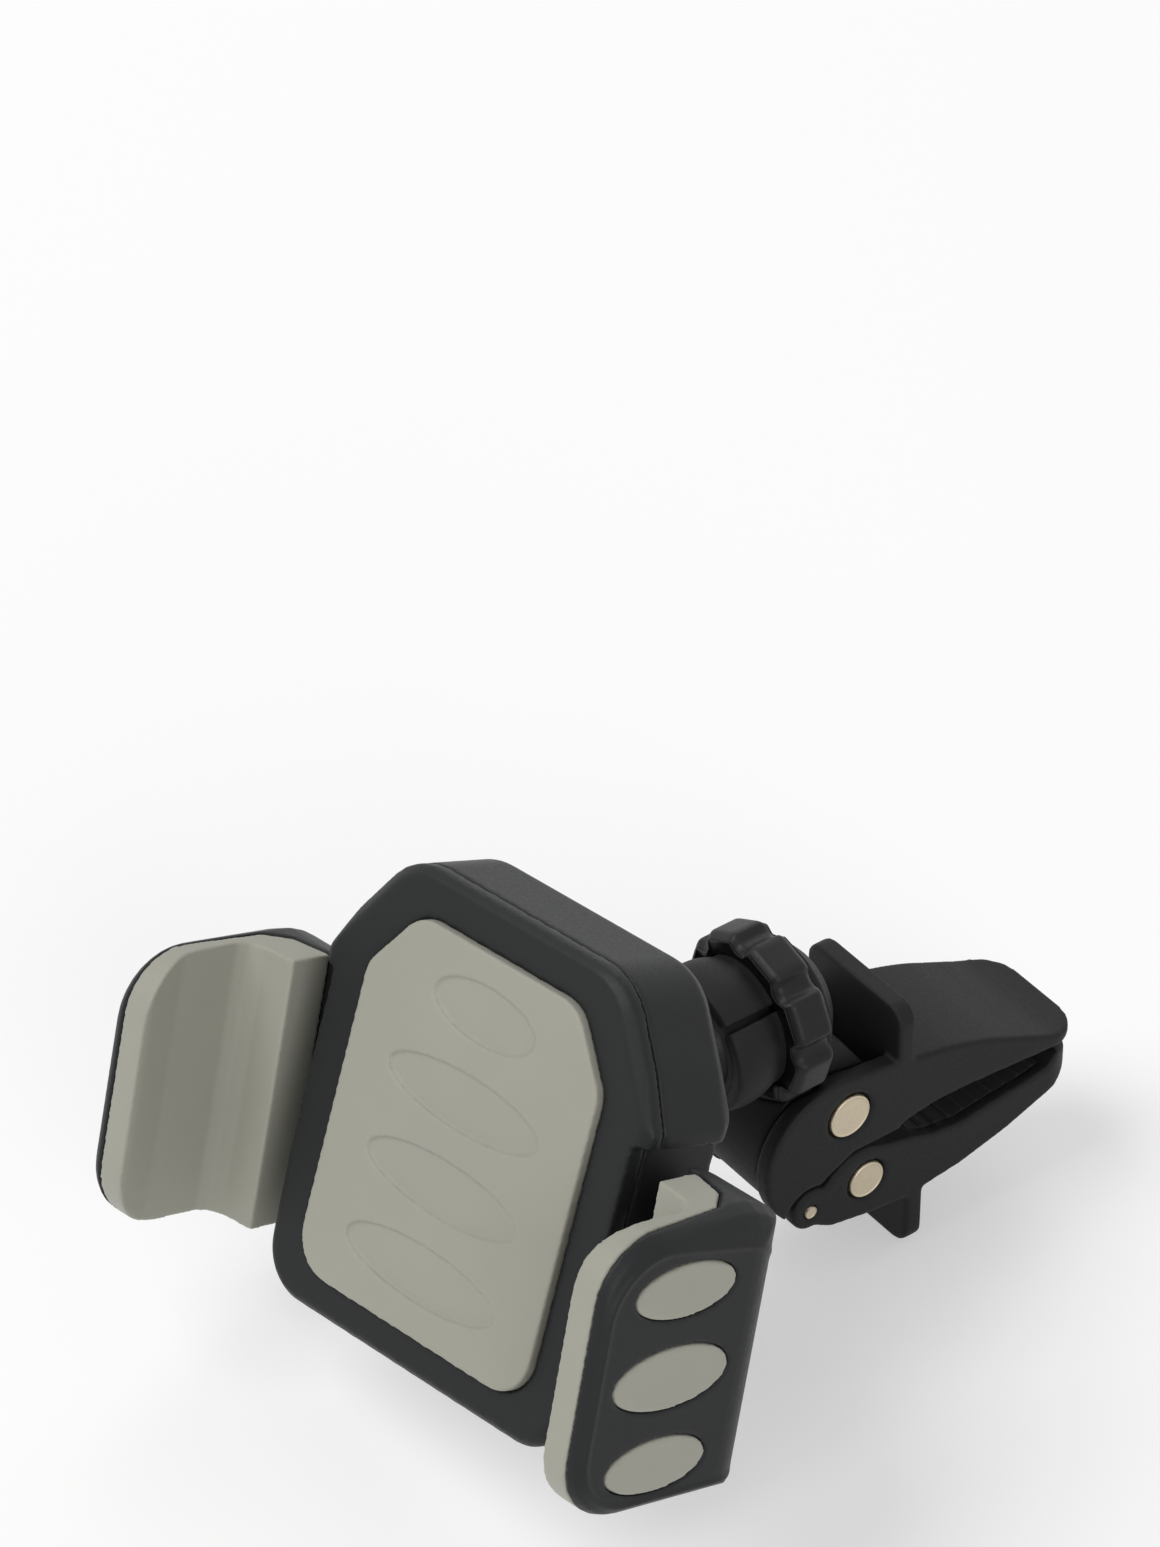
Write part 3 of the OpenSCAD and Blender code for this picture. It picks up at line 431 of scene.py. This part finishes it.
class VENT_OT_ball_joint(bpy.types.Operator):
    """Builds the lobed grip ring and the ball with its stud"""

    bl_idname = "vent.ball_joint"
    bl_label = "Ball joint"

    def execute(self, context):
        # Acetal turned and moulded smooth: a little more gloss than the clip, because hands and the liner rub it
        acetal = moulded("Moulded acetal charcoal", context.scene.clip_finish.plastic, "#1c1c1d", 0.42, 0.3, 0.01, 0.2)
        ring = self.grip_ring()
        coat_with(ring, acetal)
        stand_for(ring, "collar", "charcoal_clip", "grip_ring")
        back = BALL_IN_CRADLE[1]
        meet = back - math.sqrt(BALL_RADIUS**2 - STUD_RADIUS**2)
        stud = rounded_profile(
            [(THREAD_END, 0.05, 0), (THREAD_END, THREAD_RADIUS, 0.3), (FLANGE_FRONT, THREAD_RADIUS, 0.2),
             (FLANGE_FRONT, FLANGE_RADIUS, 0.35), (FLANGE_BACK, FLANGE_RADIUS, 0.35), (FLANGE_BACK, STUD_RADIUS, 0.5),
             (meet, STUD_RADIUS, 0)]
        )
        turn = np.linspace(math.acos((back - meet) / BALL_RADIUS), math.pi - 0.02, 40)[1:]
        ball = np.stack([back - BALL_RADIUS * np.cos(turn), BALL_RADIUS * np.sin(turn)], 1)
        piece = lathe(
            "ball_stud_turned",
            np.vstack([stud, ball])[::-1],
            96,
            lambda p: from_cradle(np.stack([p[..., 0], p[..., 2], p[..., 1] + BALL_IN_CRADLE[2]], -1)),
        )
        coat_with(piece, acetal)
        stand_for(piece, "ball", "charcoal_clip", "ball_stud")
        return {"FINISHED"}

    def grip_ring(self):
        """The ring as a grid of angle a and section s.

        The section runs from the bore over the front bevel, the outer face and the back bevel to the bore. A
        point is (r cos a, y, 19 - r sin a), with r = bore (1 - w) + w (R(a) + d): w is 0 on the bore and 1
        outside, d is the bevel's depth, and R(a) the lobes' outline, blurred over two degrees.
        """
        fine = 2880
        turn = (np.arange(fine) / fine * LOBES) % 1 - 0.5
        outline = np.interp(
            np.abs(turn), [0, 0.11, 0.19, 0.5], RING_RADIUS - np.array([LOBE_DEPTH, 0.8 * LOBE_DEPTH, 0.0, 0.15])
        )
        reach = np.abs(turn) > 0.19
        flat = RING_RADIUS * math.cos(math.pi / LOBES * 0.62) / np.cos((0.5 - np.abs(turn)) * 2 * math.pi / LOBES)
        outline[reach] = np.minimum(outline, flat + 0.12)[reach]
        kernel = np.exp(-0.5 * (np.arange(-32, 33) / 9) ** 2)
        outline = np.real(np.fft.ifft(np.fft.fft(outline) * np.fft.fft(np.roll(np.pad(kernel / kernel.sum(), (0, fine - 65)), -32))))
        outline = outline[::8]
        length, bore, bevel = RING_LENGTH, RING_BORE, 0.8
        section = rounded_profile(
            [(length / 2, -1, 0), (0, -1, 0.3), (0, -bevel, 0.35), (bevel, 0, 0.45), (length - bevel, 0, 0.45),
             (length, -bevel, 0.35), (length, -1, 0.3), (length / 2, -1, 0)],
            5,
        )[:-1]
        share = np.where(section[:, 1] < -bevel - 1e-6, 0.0, 1.0)
        share[np.argmax(share) : len(share) - np.argmax(share[::-1])] = 1.0
        angle = np.arange(len(outline)) / len(outline) * 2 * math.pi - math.radians(LOBE_TURN)
        radius = np.where(share == 1, outline[:, None] + section[:, 1], bore)
        points = np.stack(
            [radius * np.cos(angle)[:, None], RING_FRONT + section[:, 0] + 0 * radius,
             BALL_CENTRE[2] - radius * np.sin(angle)[:, None]],
            -1,
        )
        return grid_mesh("grip_ring_moulding", points[:, ::-1], round_v=True)


class VENT_OT_clip_spring(bpy.types.Operator):
    """Winds the clip's torsion spring round the jaw rivet"""

    bl_idname = "vent.clip_spring"
    bl_label = "Clip spring"

    def execute(self, context):
        # Music wire: bright drawn steel with fine die marks
        wire = metal("Drawn spring steel", context.scene.cradle_finish.steel, "#8e8e92", 0.3, 0.2, 0.004)
        turn = np.linspace(0, COIL_TURNS, COIL_TURNS * 48)
        a = 2 * np.pi * turn
        out = np.stack([0 * a, np.cos(a), np.sin(a)], 1)
        path = out * COIL_RADIUS + np.stack(
            [(turn - COIL_TURNS / 2) * COIL_PITCH, 0 * a + JAW_RIVET[0], 0 * a + JAW_RIVET[1]], 1
        )
        piece = tube("clip_spring_wound", path, out, WIRE_RADIUS, 14)
        coat_with(piece, wire)
        stand_for(piece, "lower_jaw", "steel", "clip_spring")
        return {"FINISHED"}


class VENT_OT_clip_rubber(bpy.types.Operator):
    """Gives the grip strips and the ball's liner their rubber"""

    bl_idname = "vent.clip_rubber"
    bl_label = "Clip rubber"

    def execute(self, context):
        # Moulded black rubber: no gloss, a fine dusty grain
        rubber = moulded("Moulded black rubber", context.scene.clip_finish.rubber, "#151516", 0.75, 0.3, 0.03, 0.3, 0.1)
        for name in ("upper_grip", "lower_grip", "ball_liner"):
            coat_with(NODES[name], rubber)
        return {"FINISHED"}


class VENT_OT_rivets(bpy.types.Operator):
    """Builds the rivets and the hinge pin with their chamfered flush heads"""

    bl_idname = "vent.rivets"
    bl_label = "Rivets"

    def execute(self, context):
        # Zinc-plated steel, passivated to a warm pale tone: flat satin faces with a bright turned edge
        plating = metal("Passivated zinc plating", context.scene.clip_finish.rivet, "#c2b69f", 0.42, 0.5, 0.01)
        half = CLIP_HALF_WIDTH
        for name, body, (y, z), shank, head in (
            ("base_rivet", "clip", BASE_RIVET, 1.9, 2.75),
            ("jaw_rivet", "lower_jaw", JAW_RIVET, 1.9, 2.36),
            ("hinge_pin", "clip", HINGE_PIN, 0.8, 0.8),
        ):
            # Flat face, a fine raised rim and a rounded edge
            rim = 0.35 if head > 1 else 0.15
            side = [(half, 0.02, 0), (half, head - rim - 0.1, 0), (half, head - rim, 0), (half + 0.06, head - rim + 0.08, 0.04),
                    (half + 0.06, head - 0.1, 0.08), (half - 0.16, head, 0.1), (half - 0.8, head, 0), (half - 0.8, shank, 0)]
            corners = [(-h, r, s) for h, r, s in side] + [(h, r, s) for h, r, s in side[::-1]]
            profile = rounded_profile(corners)
            piece = lathe(
                name + "_turned",
                profile[::-1],
                72,
                lambda p, y=y, z=z: np.stack([p[..., 2], p[..., 0] + y, p[..., 1] + z], -1),
            )
            coat_with(piece, plating)
            stand_for(piece, body, "rivet_metal", name)
        return {"FINISHED"}


class VENT_OT_cradle_shells(bpy.types.Operator):
    """Softens the cradle's covers and jaw shells and gives them charcoal plastic"""

    bl_idname = "vent.cradle_shells"
    bl_label = "Cradle shells"

    def execute(self, context):
        finish = context.scene.cradle_finish
        # ABS from a polished tool with a fine texture: satin, with a long soft highlight on its edges
        shell = moulded("Moulded ABS charcoal", finish.shell, "#202122", 0.46, 0.4, 0.015, 0.2)
        for name in ("rear_cover", "front_cover"):
            cover = soften(NODES[name], finish.edge_voxel, finish.edge_passes)
            # The covers are large: their flat walls need fewer triangles
            thin = cover.modifiers.new("fewer triangles", "DECIMATE")
            thin.ratio = finish.cover_share
            coat_with(cover, shell)
        wall = self.back_wall()
        for side, mirror, extra in (("right", 1, [wall]), ("left", -1, [])):
            name = side + "_jaw"
            piece, points = moulded_copy(name + "_moulding", NODES[name], finish.fine_voxel, finish.edge_passes, *extra)
            local = to_cradle(points) * (mirror, 1, 1)
            local = self.shape_jaw((local - JAW_SHIFT) @ turned(JAW_LEAN, 0, 0))
            local = (local @ turned(JAW_LEAN, 0, 0).T + JAW_SHIFT) * (mirror, 1, 1)
            piece.data.vertices.foreach_set("co", (from_cradle(local) * MM).astype(np.float32).ravel())
            piece.data.update()
            coat_with(piece, shell)
            stand_for(piece, side + "_arm", "charcoal_shell", name)
        bpy.data.objects.remove(wall)
        return {"FINISHED"}

    def shape_jaw(self, points):
        """Rounds the jaw's lower rear edge and raises the fine ridge round its outer face.

        Rounding: e is the depth below the curved back and t the height over the bottom. Where both are under
        the radius R and (R - e, R - t) is longer than R, it is scaled to length R. R grows smoothly from the
        ellipse's side, where it is 0, to its full size. The ridge adds
        h exp(-(g / w)^2) to x, with g the distance from the face's outline in y and z.
        """
        x, y, z = points.T
        across, along = (x - BACK_CORNER[0]) / BACK_AXES[0], (y - BACK_CORNER[1]) / BACK_AXES[1]
        ratio = np.maximum(np.hypot(across, along), 1e-6)
        slope = np.hypot(across / BACK_AXES[0], along / BACK_AXES[1]) / ratio
        e, t = (1 - ratio) / np.maximum(slope, 1e-6), z - JAW_BOTTOM
        grow = np.clip(along / 0.6, 0, 1)
        radius = JAW_REAR_ROUND * grow * grow * (3 - 2 * grow)
        a, b = radius - e, radius - t
        length = np.hypot(a, b)
        part = (a > 0) & (b > 0) & (length > radius)
        shrink = np.where(part, 1 - radius / np.maximum(length, 1e-6), 0.0)
        normal = np.stack([across / BACK_AXES[0], along / BACK_AXES[1]], 1)
        normal /= np.linalg.norm(normal, axis=1)[:, None] + 1e-9
        points = points.copy()
        points[:, :2] -= normal * (a * shrink)[:, None]
        points[:, 2] += b * shrink
        outline = np.array(self.face_outline())
        near = np.where(x > 38.2)[0]
        gap = np.linalg.norm(points[near, None, 1:] - outline[None], axis=2).min(1)
        points[near, 0] += RIDGE_HEIGHT * np.exp(-((gap / RIDGE_WIDTH) ** 2))
        return points

    def face_outline(self):
        """Points about 0.1 mm apart on the outer face's outline: straight edges and an arc at each corner."""
        corners = np.array(FACE_OUTLINE)
        out = []
        for i, (y, z, radius) in enumerate(corners):
            here = np.array([y, z])
            before, after = corners[i - 1][:2] - here, corners[(i + 1) % len(corners)][:2] - here
            u, v = before / np.linalg.norm(before), after / np.linalg.norm(after)
            half = math.acos(np.clip(u @ v, -1, 1)) / 2
            middle = here + (u + v) / np.linalg.norm(u + v) * radius / math.sin(half)
            start, end = here + u * radius / math.tan(half), here + v * radius / math.tan(half)
            swing = np.linspace(0, 1, 100)[:, None]
            chord = start + (end - start) * swing - middle
            out.append(middle + chord / np.linalg.norm(chord, axis=1)[:, None] * radius)
        closed = np.vstack(out + [out[0][:1]])
        step = np.r_[0, np.cumsum(np.linalg.norm(np.diff(closed, axis=0), axis=1))]
        at = np.arange(0, step[-1], 0.1)
        return np.stack([np.interp(at, step, closed[:, 0]), np.interp(at, step, closed[:, 1])], 1)

    def back_wall(self):
        """The right jaw's wall over its rack pocket, where the back corner curves in.

        With a the ellipse's angle and d the depth, a point is (cx + (ax - d) cos a, cy + (ay - d) sin a, z): the
        loop runs along the outer arc at d = 0.05 mm and back along the inner one at 1.2 mm.
        """
        out = np.radians(np.linspace(24, 52, 15))
        angle = np.concatenate([out, out[::-1]])[:, None]
        depth = np.repeat([0.05, 1.2], 15)[:, None]
        height = np.linspace(3.5, 11.0, 9)
        x = BACK_CORNER[0] + (BACK_AXES[0] - depth) * np.cos(angle) + 0 * height
        y = BACK_CORNER[1] + (BACK_AXES[1] - depth) * np.sin(angle) + 0 * height
        # Its top keeps under the jaw's rounded rear corner
        top = 3.6 + np.sqrt(np.clip(100 - (y - 8) ** 2, 0, None)) - 0.3
        return grid_mesh("back_wall", from_jaw(np.stack([x, y, np.minimum(height + 0 * x, top)], -1)), caps=True)


class VENT_OT_rack_drive(bpy.types.Operator):
    """Finishes the pinion and the two racks, whose tongues end inside the jaws' walls"""

    bl_idname = "vent.rack_drive"
    bl_label = "Rack drive"

    def execute(self, context):
        # Moulded acetal: slippery, low grain, a little glossier than the covers
        acetal = moulded("Moulded acetal gear black", "#1b1b1c", "#202021", 0.35, 0.3, 0.008)
        coat_with(NODES["pinion"], acetal)
        for side in ("right", "left"):
            piece = merged_copy(side + "_rack_moulding", NODES[side + "_rack"])
            points = np.empty(len(piece.data.vertices) * 3, np.float32)
            piece.data.vertices.foreach_get("co", points)
            local = to_cradle(points.reshape(-1, 3) / MM)
            local[:, 0] = np.clip(local[:, 0], -RACK_END, RACK_END)
            piece.data.vertices.foreach_set("co", (from_cradle(local) * MM).astype(np.float32).ravel())
            edge = piece.modifiers.new("broken edges", "BEVEL")
            edge.width = 0.12 * MM
            edge.segments = 2
            edge.limit_method = "ANGLE"
            coat_with(piece, acetal)
            stand_for(piece, side + "_arm", "gear_plastic", side + "_rack")
        return {"FINISHED"}


class VENT_OT_silicone_pads(bpy.types.Operator):
    """Softens the silicone pads and gives them their grey"""

    bl_idname = "vent.silicone_pads"
    bl_label = "Silicone pads"

    def execute(self, context):
        finish = context.scene.cradle_finish
        # Compression-moulded silicone: dull, slightly greenish grey with a powdery bloom
        silicone = moulded("Moulded grey silicone", finish.silicone, "#9b9b8f", 0.6, 0.3, 0.015, 0.4, 0.15)
        for name in ("right_pad", "left_pad", "rest_pad"):
            coat_with(soften(NODES[name], finish.fine_voxel, 6), silicone)
        return {"FINISHED"}


class VENT_OT_small_metal(bpy.types.Operator):
    """Gives the screws, washers and nut their steel"""

    bl_idname = "vent.small_metal"
    bl_label = "Small metal parts"

    def execute(self, context):
        # Bright zinc-plated steel with fine tumbling marks
        steel = metal("Zinc-plated steel", context.scene.cradle_finish.steel, "#9c9c9f", 0.35, 0.3, 0.008)
        for name in ("cover_screws", "right_screw", "left_screw", "stud_washer", "stud_nut", "pinion_washer"):
            coat_with(NODES[name], steel)
        return {"FINISHED"}


class VENT_OT_studio(bpy.types.Operator):
    """Builds the pale floor, the soft lamps and the camera"""

    bl_idname = "vent.studio"
    bl_label = "Studio"

    def execute(self, context):
        setup = context.scene.studio_setup
        low = CAD_BOX[0].z / MM
        reach = 2500.0
        corner = np.array([[-reach, -reach, low], [reach, -reach, low], [reach, reach, low], [-reach, reach, low]])
        floor = grid_mesh("studio_floor", corner[[0, 3, 1, 2]].reshape(2, 2, 3)[:, ::1], round_u=False)
        material = blank("Painted floor white")
        paint = add_node(material, "BsdfDiffuse", {"Color": linear(setup.floor)})
        glow = add_node(material, "Emission", {"Color": (1, 1, 1, 1), "Strength": 1.0})
        share = add_node(material, "Math", {1: 0.4}, {0: (seen_rays(material), 0)}, operation="MULTIPLY")
        mixed = add_node(material, "MixShader", None, {0: (share, 0), 1: (paint, 0), 2: (glow, 0)})
        add_node(material, "OutputMaterial", None, {"Surface": (mixed, 0)})
        coat_with(floor, material)
        self.light_room(context, setup)
        self.hang_lamps(context, setup)
        self.place_camera(context)
        return {"FINISHED"}

    def light_room(self, context, setup):
        """Even light from all sides, plain white to the camera and in shiny or clear surfaces."""
        world = context.scene.world or bpy.data.worlds.new("Studio room")
        context.scene.world = world
        world.use_nodes = True
        world.node_tree.nodes.clear()
        seen = seen_rays(world)
        room = add_node(world, "Background", {"Color": (1, 1, 1, 1), "Strength": setup.room_light})
        white = add_node(world, "Background", {"Color": (1, 1, 1, 1), "Strength": 1.0})
        mix = add_node(world, "MixShader", None, {0: (seen, 0), 1: (room, 0), 2: (white, 0)})
        add_node(world, "OutputWorld", None, {"Surface": (mix, 0)})

    def hang_lamps(self, context, setup):
        """Large lamps over the front, behind for the rounded edges' highlight, and on the right, all aimed at the ball."""
        target = Vector(BALL_CENTRE * MM)
        for name, place, size, power in (
            ("key_lamp", (-0.55, -1.3, 2.0), 1.5, setup.key_power),
            ("sheen_lamp", (-0.6, 0.55, 0.8), 0.6, setup.sheen_power),
            ("side_lamp", (1.6, -0.6, 0.8), 1.1, setup.side_power),
        ):
            data = bpy.data.lights.new(name, "AREA")
            data.size = size
            data.energy = power
            lamp = bpy.data.objects.new(name, data)
            lamp.location = place
            lamp.rotation_euler = (target - Vector(place)).to_track_quat("-Z", "Y").to_euler()
            context.scene.collection.objects.link(lamp)

    def place_camera(self, context):
        """The camera that fits the photograph: its place and axes in the row's frame."""
        data = bpy.data.cameras.new("studio_camera")
        data.sensor_width = 36.0
        data.lens = 176.65
        data.clip_start, data.clip_end = 0.05, 20.0
        camera = bpy.data.objects.new("studio_camera", data)
        right, up, back = (0.6030921, 0.797649, 0.0059997), (-0.5055151, 0.3763736, 0.7764002), (0.6170368, -0.4712738, 0.6302116)
        turn = Matrix((right, up, back)).transposed().to_4x4()
        camera.matrix_world = Matrix.Translation((0.4883948, -0.4252884, 0.5634928)) @ turn
        context.scene.collection.objects.link(camera)
        context.scene.camera = camera
        context.scene.view_settings.view_transform = "Standard"


PIECES = (
    VENT_OT_clip_plastic,
    VENT_OT_ball_joint,
    VENT_OT_clip_rubber,
    VENT_OT_clip_spring,
    VENT_OT_rivets,
    VENT_OT_cradle_shells,
    VENT_OT_rack_drive,
    VENT_OT_silicone_pads,
    VENT_OT_small_metal,
    VENT_OT_studio,
)


class VENT_PT_panel(bpy.types.Panel):
    """Lists the finishes and the steps that make them."""

    bl_label = "Vent holder"
    bl_idname = "VENT_PT_panel"
    bl_space_type = "VIEW_3D"
    bl_region_type = "UI"
    bl_category = "Vent holder"

    def draw(self, context):
        for group in (context.scene.clip_finish, context.scene.cradle_finish, context.scene.studio_setup):
            box = self.layout.box()
            for name in group.__annotations__:
                box.prop(group, name)
        for piece in PIECES:
            self.layout.operator(piece.bl_idname)


GROUPS = {"clip_finish": ClipFinish, "cradle_finish": CradleFinish, "studio_setup": StudioSetup}


def register():
    """Registers the property groups, the operators and the panel."""
    for name, group in GROUPS.items():
        bpy.utils.register_class(group)
        setattr(bpy.types.Scene, name, bpy.props.PointerProperty(type=group))
    for piece in (*PIECES, VENT_PT_panel):
        bpy.utils.register_class(piece)


def unregister():
    """Takes out what register put in."""
    for piece in (VENT_PT_panel, *reversed(PIECES)):
        bpy.utils.unregister_class(piece)
    for name, group in GROUPS.items():
        delattr(bpy.types.Scene, name)
        bpy.utils.unregister_class(group)


def main():
    register()
    for piece in PIECES:
        group, name = piece.bl_idname.split(".")
        getattr(getattr(bpy.ops, group), name)()


if __name__ == "__main__":
    main()
